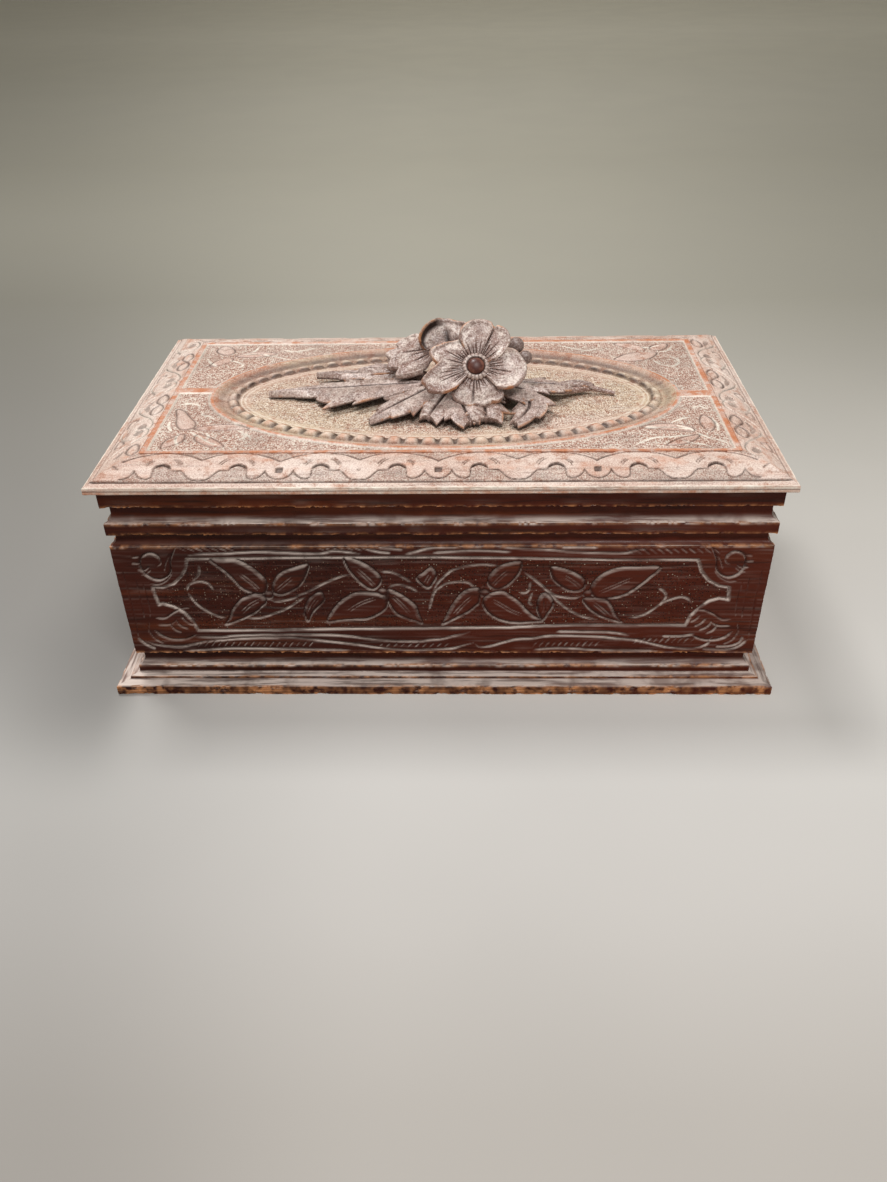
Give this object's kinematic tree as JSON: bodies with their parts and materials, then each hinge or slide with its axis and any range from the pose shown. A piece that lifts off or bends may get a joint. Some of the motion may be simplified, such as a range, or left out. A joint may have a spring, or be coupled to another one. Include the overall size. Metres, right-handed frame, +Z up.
{
  "type": "keepsake box",
  "caption": "Carved wooden keepsake box with a moulded plinth, hinged lid, sunk oval panel and applied leaf and flower spray.",
  "frame": {"origin": "centre of the plinth's underside, on the surface the box stands on", "axes": "+Z up, +Y to the back where the hinges are, +X to the right seen from the front"},
  "size_m": [0.29, 0.168, 0.1411],
  "materials": {
    "stained_wood": "semi-gloss dark red-brown stain",
    "carved_top": "worn satin stain with pale dust in the carving",
    "spray_wood": "worn satin stain with pale dust",
    "dark_button": "polished dark stain",
    "plain_wood": "bare planed wood",
    "hinge_brass": "dull brass"
  },
  "bodies": {
    "box": {"front_panel": "stained_wood", "back_panel": "stained_wood", "left_panel": "stained_wood", "right_panel": "stained_wood", "bottom_board": "plain_wood", "plinth_front": "stained_wood", "plinth_back": "stained_wood", "plinth_left": "stained_wood", "plinth_right": "stained_wood", "hinge_lower_left": "hinge_brass", "hinge_lower_right": "hinge_brass", "hinge_pin_left": "hinge_brass", "hinge_pin_right": "hinge_brass", "hinge_screws_lower": "hinge_brass"},
    "lid": {"lid_rim_front": "stained_wood", "lid_rim_back": "stained_wood", "lid_rim_left": "stained_wood", "lid_rim_right": "stained_wood", "lid_border_front": "carved_top", "lid_border_back": "carved_top", "lid_border_left": "carved_top", "lid_border_right": "carved_top", "lid_panel": "carved_top", "leaf_spray": "spray_wood", "main_flower": "spray_wood", "flower_boss": "dark_button", "side_flower": "spray_wood", "bud_cluster": "spray_wood", "spray_dowels": "plain_wood", "hinge_upper_left": "hinge_brass", "hinge_upper_right": "hinge_brass", "hinge_screws_upper": "hinge_brass"}
  },
  "joints": [
    {"name": "lid_hinge", "type": "hinge", "parent": "box", "child": "lid", "pos_m": [0, 0.07275, 0.078], "axis": [-1, 0, 0], "range_deg": [0, 100]}
  ]
}
